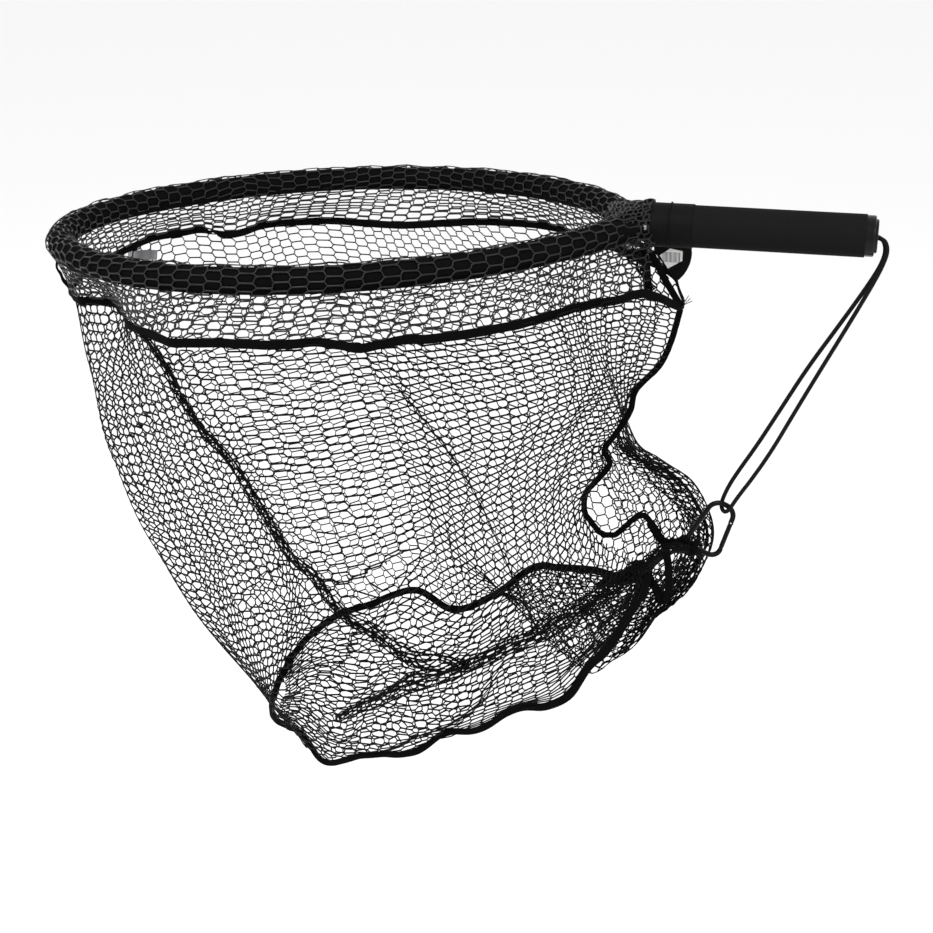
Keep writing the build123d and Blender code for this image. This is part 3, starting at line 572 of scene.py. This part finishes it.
def tape(name, line, face, width=TAPE_WIDTH, thick=TAPE_THICK, closed=False, ruck=0.0, seed=1):
    """A woven tape along a line. face is the way its flat side looks at each point."""
    n = len(line)
    before, after = np.roll(line, 1, axis=0), np.roll(line, -1, axis=0)
    if not closed:
        before[0], after[-1] = line[0], line[-1]
    tangent = unit(after - before)
    side = unit(np.cross(tangent, face))
    out = np.cross(side, tangent)
    r = np.random.default_rng(seed)
    k = np.arange(n)
    wave = ruck * sum(np.sin(k * f + r.uniform(0, 6)) for f in r.uniform(0.25, 1.1, 4))
    widths = np.broadcast_to(width, n)[:, None]
    rings = [line + side * widths * a + out * (thick * b + wave[:, None]) for a, b in TAPE_SECTION]
    rings = np.stack(rings, axis=1)
    sides = len(TAPE_SECTION)
    faces = []
    for i in range(n if closed else n - 1):
        j = (i + 1) % n
        for s in range(sides):
            t = (s + 1) % sides
            faces.append([i * sides + s, j * sides + s, j * sides + t, i * sides + t])
    if not closed:
        faces.append(list(range(sides)))
        faces.append([(n - 1) * sides + s for s in reversed(range(sides))])
    return mesh_object(name, rings.reshape(-1, 3), faces)


def facing(way, line):
    """The same way to face at each point of a line."""
    return unit(np.tile(way, (len(line), 1)))


SEAM_FACING = (0.15, -0.95, 0.1)
TIE_FACING = (0.3, -0.9, 0.1)
TAIL_FACING = (0.3, -0.92, 0.25)
FRAY_FACING = (0.0, -1.0, 0.2)


def level_face(line, centre_point):
    face = line - np.asarray(centre_point)
    face[:, 2] = 0
    return unit(face)


loop_line = even_line(np.concatenate([collar_edge, collar_edge[:1]]), 420)[0][:-1]
collar_binding = tape("collar_tape", loop_line, level_face(loop_line, centre), closed=True, ruck=0.0004,
    seed=2)

base_loop = even_line(np.concatenate([BASE_EDGE, BASE_EDGE[:1]]), 300)[0][:-1]
base_face = unit(np.array(FRONT_ABOVE) + 0.3 * level_face(base_loop, BASE_EDGE.mean(axis=0)))
WIDTH_PLACES = (0, 0.12, 0.2, 0.4, 0.5, 1)
WIDTHS_THERE = (0.0088, 0.0085, 0.0062, 0.0062, 0.0076, 0.0080)
base_width = np.interp(np.linspace(0, 1, len(base_loop)), WIDTH_PLACES, WIDTHS_THERE)
base_binding = tape("base_tape", base_loop, base_face, width=base_width, closed=True, ruck=0.0006, seed=3)

SEAM_TAPE = [
    *SEAM, (-0.161, 0.0, -0.297), (-0.150, 0.0, -0.309), (-0.136, 0.0, -0.309), (-0.126, 0.0, -0.299),
    (-0.114, -0.002, -0.286), (-0.105, -0.003, -0.287), (-0.098, -0.004, -0.297),
]
seam_line = even_line(SEAM_TAPE, 220)[0]
handle_side_tape = tape("seam_tape", seam_line, facing(SEAM_FACING, seam_line), width=0.0058,
    ruck=0.0004, seed=4)

TIP_EDGE = [(-0.548, -0.082, 0.012), (-0.545, -0.088, 0.028), (-0.538, -0.078, 0.050)]
tip_line = even_line([hoop_place(*p) for p in TIP_EDGE], 24)[0]
tip_side_tape = tape("tip_tape", tip_line, level_face(tip_line, centre), width=0.0068, ruck=0.0004,
    seed=5)

FRONT_TIE = [(-0.1180, -0.0245, -0.0160), (-0.1125, -0.0300, -0.0349), (-0.1085, -0.0400, -0.0560)]
neck_front = even_line(FRONT_TIE, 24)[0]
neck_tie_front = tape("neck_tie_front", neck_front, facing(TIE_FACING, neck_front), width=0.0078,
    ruck=0.0005, seed=6)
BACK_TIE = [(-0.1120, -0.0110, -0.0225), (-0.0970, -0.0080, -0.0500), (-0.0825, -0.0060, -0.0730)]
neck_back = even_line(BACK_TIE, 24)[0]
neck_tie_back = tape("neck_tie_back", neck_back, facing(TIE_FACING, neck_back), width=0.0062,
    ruck=0.0004, seed=7)

HOOK_TAPE = [
    (-0.102, -0.0035, -0.291), (-0.098, -0.004, -0.297), (-0.088, -0.006, -0.309),
    (-0.079, -0.008, -0.308), (-0.070, -0.009, -0.305), (-0.064, -0.011, -0.300),
]
hook_line = even_line(HOOK_TAPE, 60)[0]
hook_tape = tape("hook_tape", hook_line, facing(SEAM_FACING, hook_line), width=0.0085, ruck=0.0006,
    seed=9)

LABEL = [(-0.6867, 0.1120, -0.0910), (-0.6683, 0.1100, -0.0883), (-0.6512, 0.1080, -0.0868)]
label_line = even_line(LABEL, 20)[0]
care_label = tape("care_label_cloth", label_line, facing(FRONT_ABOVE, label_line), width=0.0105,
    thick=0.0006, ruck=0.0003, seed=10)

# the mesh bunched under the front leg, beside the neck tie
BUNCH = [
    [(-0.1363, -0.0400, -0.0131), (-0.1256, -0.0330, -0.0159), (-0.1149, -0.0260, -0.0178)],
    [(-0.1239, -0.0420, -0.0254), (-0.1174, -0.0370, -0.0281), (-0.1110, -0.0300, -0.0331)],
    [(-0.1135, -0.0420, -0.0403), (-0.1091, -0.0400, -0.0451), (-0.1046, -0.0380, -0.0517)],
]
bunch = hung_sheet(np.array(BUNCH).transpose(1, 0, 2), 31, 41)
bunch = bunch + sheet_normals(bunch) * ripples(bunch.shape[:2], 23, (3, 4), 0.003)[..., None]
neck_bunch = netting("neck_bunch", bunch, 8, 9, 24, stray=0.3)[0]

TAIL = [
    (-0.086, -0.0125, -0.308), (-0.081, -0.016, -0.329), (-0.0795, -0.017, -0.346),
    (-0.0800, -0.016, -0.361), (-0.0840, -0.015, -0.368), (-0.0910, -0.012, -0.360),
    (-0.1000, -0.009, -0.346), (-0.1060, -0.008, -0.336),
]
tail_line = even_line(TAIL, 60)[0]
tape_tail = tape("tape_tail_loop", tail_line, facing(TAIL_FACING, tail_line), width=0.0075, ruck=0.0005,
    seed=8)

# mesh and tape bunched from the base to the carabiner: middle line and half height
BUNDLE = [
    (-0.150, -0.020, -0.358, 0.003), (-0.129, -0.016, -0.347, 0.006), (-0.115, -0.014, -0.343, 0.009),
    (-0.104, -0.012, -0.335, 0.009), (-0.095, -0.011, -0.324, 0.0075), (-0.084, -0.010, -0.315, 0.006),
    (-0.071, -0.010, -0.311, 0.005), (-0.060, -0.012, -0.312, 0.004), (-0.050, -0.013, -0.315, 0.002),
]
bundle_ribs = []
for x, y, z, high in BUNDLE:
    bundle_ribs.append([
        np.array((x - high * 0.3, y, z + high)), np.array((x, y - high * 0.7, z + high * 0.4)),
        np.array((x, y - high * 0.7, z - high * 0.4)), np.array((x + high * 0.3, y, z - high)),
        np.array((x, y + high * 0.6, z - high * 0.4)), np.array((x, y + high * 0.6, z + high * 0.4)),
    ])
bundle = hung_sheet(bundle_ribs, 121, 49)
hook_bundle = netting("hook_bundle", bundle, 34, 13, 33, stray=0.22)[0]

frays = []
for k, lean in enumerate((0.0, 0.0015, -0.002, 0.003)):
    root = (-0.0835, -0.0070 + 0.0005 * k, -0.0740)
    middle = (-0.0795 + lean, -0.0060 - lean, -0.0690)
    tip = (-0.0760 + lean, -0.0060 + lean, -0.0625 - 2 * abs(lean))
    frays.append(even_line([root, middle, tip], 12)[0])
fray_ups = [np.tile(FRAY_FACING, (12, 1))] * len(frays)
corner_fray = threads_mesh("corner_fray", frays, fray_ups, False, THREAD / 3)

# ---- elastic cord ----
CORD_ROUTE = [
    (0.0775, -0.00215, 0.0), (0.0904, -0.00215, 0.0), (0.0956, -0.0023, -0.0105),
    (0.0928, -0.0026, -0.0235), (0.0852, -0.0030, -0.0425), (0.0673, -0.0039, -0.0810),
    (0.0446, -0.0054, -0.1280), (0.0250, -0.0070, -0.1695), (0.0086, -0.0088, -0.2050),
    (-0.0076, -0.0108, -0.2340), (-0.0196, -0.0134, -0.2525), (-0.0294, -0.0137, -0.2714),
    (-0.0364, -0.0023, -0.2672), (-0.0298, -0.0022, -0.2472), (-0.0202, -0.0012, -0.2290),
    (-0.0060, -0.0002, -0.2045), (0.0138, 0.0005, -0.1660), (0.0346, 0.0012, -0.1250),
    (0.0605, 0.0016, -0.0812), (0.0812, 0.0018, -0.0450), (0.0912, 0.0022, -0.0250),
    (0.0940, 0.0024, -0.0112), (0.0889, 0.00215, 0.0), (0.0775, 0.00215, 0.0),
]
cord_curve = bpy.data.curves.new("elastic_cord_looped", "CURVE")
cord_curve.dimensions = "3D"
spline = cord_curve.splines.new("NURBS")
spline.points.add(len(CORD_ROUTE) - 1)
for point, place in zip(spline.points, CORD_ROUTE):
    point.co = (*place, 1)
spline.order_u = 3
spline.use_endpoint_u = True
spline.resolution_u = 12
cord_curve.bevel_depth = CORD_DIAMETER / 2
cord_curve.bevel_resolution = 3
cord_curve.use_fill_caps = True
elastic_cord = bpy.data.objects.new("elastic_cord_looped", cord_curve)
bpy.context.scene.collection.objects.link(elastic_cord)

# ---- materials ----


def shader(name, color, roughness, metallic=0.0, specular=0.5):
    made = bpy.data.materials.new(name)
    made.use_nodes = True
    main = made.node_tree.nodes["Principled BSDF"]
    main.inputs["Base Color"].default_value = (*color, 1)
    main.inputs["Roughness"].default_value = roughness
    main.inputs["Metallic"].default_value = metallic
    main.inputs["Specular IOR Level"].default_value = specular
    return made, made.node_tree, main


ROUGH_SPREAD = 0.1
GRAIN_DEPTH = 0.0002
GRAIN_LOW, GRAIN_HIGH = 0.3, 0.7  # the grain's values that read as fully dark and fully light


def grain_group(name, pattern_kind, reading):
    """A node group: one grain that varies the colour, the roughness and the surface together."""
    group = bpy.data.node_groups.new(name, "ShaderNodeTree")
    for label, kind in (
        ("Place", "Vector"), ("Scale", "Float"), ("Dark", "Color"), ("Light", "Color"),
        ("Smoothest", "Float"), ("Roughest", "Float"), ("Strength", "Float"), ("Distance", "Float"),
    ):
        group.interface.new_socket(label, in_out="INPUT", socket_type=f"NodeSocket{kind}")
    for label, kind in (("Color", "Color"), ("Roughness", "Float"), ("Normal", "Vector")):
        group.interface.new_socket(label, in_out="OUTPUT", socket_type=f"NodeSocket{kind}")
    start, end = group.nodes.new("NodeGroupInput"), group.nodes.new("NodeGroupOutput")
    link = group.links.new
    pattern = group.nodes.new(pattern_kind)
    link(start.outputs["Place"], pattern.inputs["Vector"])
    link(start.outputs["Scale"], pattern.inputs["Scale"])
    if reading == "Fac":
        pattern.inputs["Detail"].default_value = 4.0
        pattern.inputs["Roughness"].default_value = 0.6
    value = pattern.outputs[reading]
    share = group.nodes.new("ShaderNodeMapRange")
    share.inputs["From Min"].default_value = GRAIN_LOW
    share.inputs["From Max"].default_value = GRAIN_HIGH
    link(value, share.inputs["Value"])
    tint = group.nodes.new("ShaderNodeMix")
    tint.data_type = "RGBA"
    link(share.outputs["Result"], tint.inputs[0])
    link(start.outputs["Dark"], tint.inputs[6])
    link(start.outputs["Light"], tint.inputs[7])
    link(tint.outputs[2], end.inputs["Color"])
    rough = group.nodes.new("ShaderNodeMapRange")
    link(value, rough.inputs["Value"])
    link(start.outputs["Smoothest"], rough.inputs["To Min"])
    link(start.outputs["Roughest"], rough.inputs["To Max"])
    link(rough.outputs["Result"], end.inputs["Roughness"])
    bump = group.nodes.new("ShaderNodeBump")
    link(start.outputs["Strength"], bump.inputs["Strength"])
    link(start.outputs["Distance"], bump.inputs["Distance"])
    link(value, bump.inputs["Height"])
    link(bump.outputs["Normal"], end.inputs["Normal"])
    return group


FINE_GRAIN = grain_group("fine_grain", "ShaderNodeTexNoise", "Fac")
CELL_GRAIN = grain_group("cell_grain", "ShaderNodeTexVoronoi", "Distance")


def grain(name, color, roughness, scale, strength, vary=0.25, grain_kind=FINE_GRAIN, **more):
    """A finish whose colour, roughness and surface all vary with one grain."""
    made, tree, main = shader(name, color, roughness, **more)
    coords = tree.nodes.new("ShaderNodeTexCoord")
    group = tree.nodes.new("ShaderNodeGroup")
    group.node_tree = grain_kind
    tree.links.new(coords.outputs["Object"], group.inputs["Place"])
    group.inputs["Scale"].default_value = scale
    group.inputs["Dark"].default_value = (*[c * (1 - vary) for c in color], 1)
    group.inputs["Light"].default_value = (*[min(1, c * (1 + vary)) for c in color], 1)
    group.inputs["Smoothest"].default_value = max(0.05, roughness - ROUGH_SPREAD)
    group.inputs["Roughest"].default_value = min(1.0, roughness + ROUGH_SPREAD)
    group.inputs["Strength"].default_value = strength
    group.inputs["Distance"].default_value = GRAIN_DEPTH
    tree.links.new(group.outputs["Color"], main.inputs["Base Color"])
    tree.links.new(group.outputs["Roughness"], main.inputs["Roughness"])
    tree.links.new(group.outputs["Normal"], main.inputs["Normal"])
    return made


THREAD_BLACK = grain("netting_thread", (0.0018, 0.0018, 0.0020), 0.6, 900, 0.5, specular=0.07)
# the same black thread as above, with a lighter colour as painted sheen, used for the collar and neck
# netting over the foam
THREAD_PAINTED_SHEEN = grain("netting_thread_painted_sheen", (0.0042, 0.0042, 0.0046), 0.4, 900, 0.5, specular=0.30)
TAPE_BLACK = grain("woven_tape", (0.0018, 0.0018, 0.0019), 0.85, 1400, 0.8, specular=0.04)
FOAM_BLACK = grain("closed_cell_foam", (0.0028, 0.0028, 0.0029), 0.9, 1500, 0.5, grain_kind=CELL_GRAIN,
    specular=0.03)
GRIP_BLACK = grain("grip_foam_skin", (0.0062, 0.0062, 0.0066), 0.8, 1100, 0.4, specular=0.05)
SLEEVE_BLACK = grain("neck_rubber", (0.0038, 0.0038, 0.0041), 0.6, 400, 0.2, specular=0.05)
CAP_BLACK = grain("moulded_cap", (0.0028, 0.0030, 0.0032), 0.16, 300, 0.08, specular=0.15)
PLUG_BLACK = grain("moulded_plug", (0.0060, 0.0060, 0.0060), 0.6, 300, 0.1, specular=0.15)
CORD_BLACK = grain("braided_cord", (0.0030, 0.0030, 0.0032), 0.7, 1600, 0.8, specular=0.12)
ANODISED = grain("black_anodised", (0.0022, 0.0022, 0.0024), 0.32, 900, 0.05, specular=0.10)
STEEL = grain("bright_steel", (0.62, 0.62, 0.60), 0.25, 700, 0.1, metallic=1.0)
CARD = grain("printed_card", (0.0035, 0.0035, 0.0037), 0.45, 200, 0.05, specular=0.06)
PAPER = grain("white_paper", (0.85, 0.85, 0.84), 0.7, 500, 0.1, vary=0.03)


BAR_WAVES = (5200.0, 8900.0)
BAR_LEVEL = 0.1
BAR_LEFT, BAR_RIGHT = -0.1050, -0.0885
BAR_FOOT, BAR_TOP = -0.0400, -0.0305
INK = (0.01, 0.01, 0.01, 1)


def bars_group():
    """A node group: 1 inside a block of upright bars on the sticker, 0 elsewhere."""
    group = bpy.data.node_groups.new("printed_bars", "ShaderNodeTree")
    group.interface.new_socket("Place", in_out="INPUT", socket_type="NodeSocketVector")
    group.interface.new_socket("Mask", in_out="OUTPUT", socket_type="NodeSocketFloat")
    start, end = group.nodes.new("NodeGroupInput"), group.nodes.new("NodeGroupOutput")
    split = group.nodes.new("ShaderNodeSeparateXYZ")
    group.links.new(start.outputs["Place"], split.inputs["Vector"])

    def step(operation, a, b):
        node = group.nodes.new("ShaderNodeMath")
        node.operation = operation
        for socket, value in zip(node.inputs, (a, b)):
            if isinstance(value, float):
                socket.default_value = value
            else:
                group.links.new(value, socket)
        return node.outputs["Value"]

    x, z = split.outputs["X"], split.outputs["Z"]
    waves = [step("SINE", step("MULTIPLY", x, turns), 0.0) for turns in BAR_WAVES]
    across = step("MULTIPLY", step("GREATER_THAN", x, BAR_LEFT), step("LESS_THAN", x, BAR_RIGHT))
    upright = step("MULTIPLY", step("GREATER_THAN", z, BAR_FOOT), step("LESS_THAN", z, BAR_TOP))
    bars = step("GREATER_THAN", step("ADD", *waves), BAR_LEVEL)
    mask = step("MULTIPLY", bars, step("MULTIPLY", across, upright))
    group.links.new(mask, end.inputs["Mask"])
    return group


def print_bars(material):
    tree = material.node_tree
    main = tree.nodes["Principled BSDF"]
    bars = tree.nodes.new("ShaderNodeGroup")
    bars.node_tree = bars_group()
    coords = tree.nodes.new("ShaderNodeTexCoord")
    tree.links.new(coords.outputs["Object"], bars.inputs["Place"])
    mix = tree.nodes.new("ShaderNodeMix")
    mix.data_type = "RGBA"
    paper = main.inputs["Base Color"].links[0].from_socket
    tree.links.new(bars.outputs["Mask"], mix.inputs[0])
    tree.links.new(paper, mix.inputs[6])
    mix.inputs[7].default_value = INK
    tree.links.new(mix.outputs[2], main.inputs["Base Color"])


print_bars(PAPER)
STRING = grain("twisted_string", (0.0045, 0.0045, 0.0048), 0.7, 1200, 0.5, specular=0.05)
TUBE = grain("drawn_tube", (0.5, 0.5, 0.52), 0.35, 500, 0.1, metallic=1.0)
LABEL_CLOTH = grain("label_cloth", (0.22, 0.22, 0.23), 0.8, 900, 0.3, specular=0.2)


def dress(piece, material, body=None, also=()):
    piece.data.materials.clear()
    piece.data.materials.append(material)
    if body:
        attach(piece, body)
    if also:
        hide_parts(*also)


NODE_FINISH = {
    "hoop_foam": FOAM_BLACK, "grip_foam": GRIP_BLACK, "neck_sleeve": SLEEVE_BLACK,
    "neck_plug": PLUG_BLACK,
    "end_cap": CAP_BLACK, "end_disc": CAP_BLACK, "hoop_tube": TUBE, "handle_tube": TUBE,
    "neck_rivets": ANODISED,
    "cord_knot": CORD_BLACK, "carabiner_body": ANODISED, "carabiner_gate": ANODISED, "gate_pin": STEEL,
    "gate_spring": STEEL, "net_gather": TAPE_BLACK, "care_label": LABEL_CLOTH, "hang_tag": CARD,
    "tag_sticker": PAPER, "tag_string": STRING,
}
for node, finish in NODE_FINISH.items():
    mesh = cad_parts[node].data
    mesh.materials.clear()
    mesh.materials.append(finish)

dress(bag_netting[0], THREAD_BLACK, ROOT, ["wall_netting_front", "wall_netting_back"])
dress(bag_netting[1], THREAD_BLACK, ROOT)
# the collar and neck netting take the lighter thread copy, whose colour is painted sheen
dress(collar_netting[0], THREAD_PAINTED_SHEEN, ROOT, ["collar_netting", "rim_netting"])
dress(collar_netting[1], THREAD_PAINTED_SHEEN, ROOT)
dress(neck_netting, THREAD_PAINTED_SHEEN, ROOT)
dress(front_pleat, THREAD_BLACK, ROOT)
dress(hook_pleat, THREAD_BLACK, ROOT)
dress(lobe_fold, THREAD_BLACK, ROOT)
dress(base_netting[0], THREAD_BLACK, ROOT, ["base_netting"])
dress(collar_binding, TAPE_BLACK, ROOT, ["collar_binding"])
dress(base_binding, TAPE_BLACK, ROOT, ["base_binding"])
dress(handle_side_tape, TAPE_BLACK, ROOT, ["handle_side_tape"])
dress(tip_side_tape, TAPE_BLACK, ROOT, ["tip_side_tape"])
dress(neck_tie_front, TAPE_BLACK, ROOT, ["neck_tapes"])
dress(neck_tie_back, TAPE_BLACK, ROOT)
dress(tape_tail, TAPE_BLACK, ROOT, ["tape_tail"])
dress(care_label, LABEL_CLOTH, ROOT, ["care_label"])
dress(neck_bunch, THREAD_BLACK, ROOT)
dress(corner_fray, THREAD_BLACK, ROOT)
dress(hook_tape, TAPE_BLACK)
dress(hook_bundle, THREAD_BLACK)
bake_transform(hook_tape)
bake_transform(hook_bundle)
dress(elastic_cord, CORD_BLACK, ROOT, ["elastic_cord"])

# ---- floor, light and camera ----
FLOOR_HEIGHT = -0.90
CAMERA_PLACE = (0.0698, -1.4247, 0.3252)
CAMERA_LENS = 61.74

bpy.ops.mesh.primitive_plane_add(size=60, location=(0, 0, FLOOR_HEIGHT))
floor = bpy.context.active_object
floor.name = "floor"
pale, _, _ = shader("pale_floor", (0.93, 0.93, 0.93), 0.9)
floor.data.materials.append(pale)

world = bpy.data.worlds.new("soft_studio")
world.use_nodes = True
world.node_tree.nodes["Background"].inputs["Color"].default_value = (1, 1, 1, 1)
world.node_tree.nodes["Background"].inputs["Strength"].default_value = 1.0
bpy.context.scene.world = world
bpy.context.scene.view_settings.view_transform = "Standard"


def soft_light(name, place, aim, size, power):
    data = bpy.data.lights.new(name, "AREA")
    data.shape = "DISK"
    data.size = size
    data.energy = power
    lamp = bpy.data.objects.new(name, data)
    lamp.location = place
    lamp.rotation_euler = (Vector(aim) - Vector(place)).to_track_quat("-Z", "Y").to_euler()
    bpy.context.scene.collection.objects.link(lamp)


soft_light("key_light", (-0.9, -1.6, 1.9), (-0.25, 0, -0.1), 1.4, 45)
soft_light("side_light", (1.9, -0.9, 1.2), (-0.1, 0, -0.1), 1.2, 20)

camera_data = bpy.data.cameras.new("camera")
camera_data.lens = CAMERA_LENS
camera_data.sensor_width = 36
camera = bpy.data.objects.new("camera", camera_data)
camera.location = CAMERA_PLACE
camera.rotation_euler = (-Vector(FRONT_ABOVE)).to_track_quat("-Z", "Y").to_euler()
bpy.context.scene.collection.objects.link(camera)
bpy.context.scene.camera = camera
